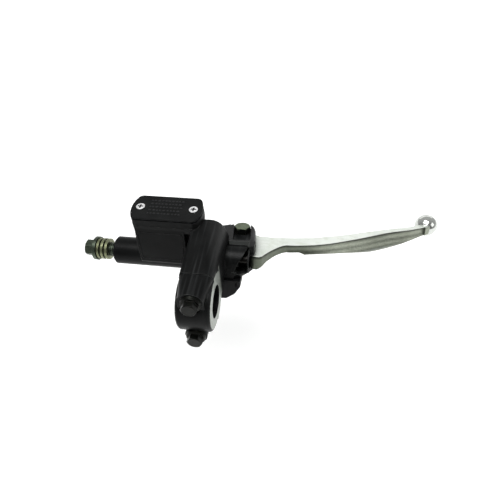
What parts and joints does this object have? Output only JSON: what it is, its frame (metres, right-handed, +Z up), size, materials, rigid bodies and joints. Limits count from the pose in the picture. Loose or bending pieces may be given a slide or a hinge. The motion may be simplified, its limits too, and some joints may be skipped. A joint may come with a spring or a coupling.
{
  "type": "brake master cylinder",
  "caption": "Handlebar brake master cylinder with integral reservoir, two-piece bar clamp, pivoting hand lever, brake-light switch and banjo outlet.",
  "frame": {"origin": "centre of the handlebar bore, midway along the clamp", "axes": "+X along the handlebar towards the lever's ball end, +Y forward away from the rider, +Z up, square to the reservoir cap"},
  "size_m": [0.2724, 0.1449, 0.068],
  "materials": {
    "body_black": "black satin paint on die-cast aluminium",
    "cap_black": "textured black paint",
    "lever_alloy": "bright cast, tumbled",
    "zinc_olive": "olive zinc plate",
    "bolt_dark": "dark plated",
    "screw_silver": "bright zinc",
    "washer": "zinc plate",
    "steel": "machined",
    "piston_alloy": "anodised",
    "rubber": "moulded",
    "switch_plastic": "moulded black",
    "terminal_brass": "stamped"
  },
  "bodies": {
    "master": {"master_body": "body_black", "clamp_cap": "body_black", "clamp_bolts": "bolt_dark", "reservoir_cap": "cap_black", "cap_screws": "screw_silver", "diaphragm": "rubber", "diaphragm_plate": "switch_plastic", "banjo_bolt": "zinc_olive", "banjo_washers": "washer", "return_spring": "steel", "stop_washer": "steel", "circlip": "steel", "dust_boot": "rubber", "pivot_bolt": "zinc_olive", "pivot_nut": "zinc_olive", "switch_housing": "switch_plastic", "switch_screw": "screw_silver", "switch_terminals": "terminal_brass"},
    "lever": {"lever": "lever_alloy"},
    "piston": {"piston": "piston_alloy", "primary_cup": "rubber", "secondary_cup": "rubber"},
    "plunger": {"switch_plunger": "switch_plastic"}
  },
  "joints": [
    {"name": "lever_squeeze", "type": "hinge", "parent": "master", "child": "lever", "pos_m": [0.0193, 0.06544, -0.01118], "axis": [0, -0.2924, -0.9563], "range_deg": [0, 15], "stiffness_Nm_per_rad": 1, "springref_deg": -11.46},
    {"name": "piston_stroke", "type": "slide", "parent": "master", "child": "piston", "axis": [-1, 0, 0], "range_m": [0, 0.0067], "deforming": ["return_spring"]},
    {"name": "switch_press", "type": "slide", "parent": "master", "child": "plunger", "axis": [0, -0.2924, -0.9563], "range_m": [0, 0.0015]}
  ],
  "couplings": [
    {"joint": "piston_stroke", "follows": "lever_squeeze", "m_per_rad": 0.02547},
    {"joint": "switch_press", "follows": "lever_squeeze", "m_per_rad": 0.0056}
  ]
}
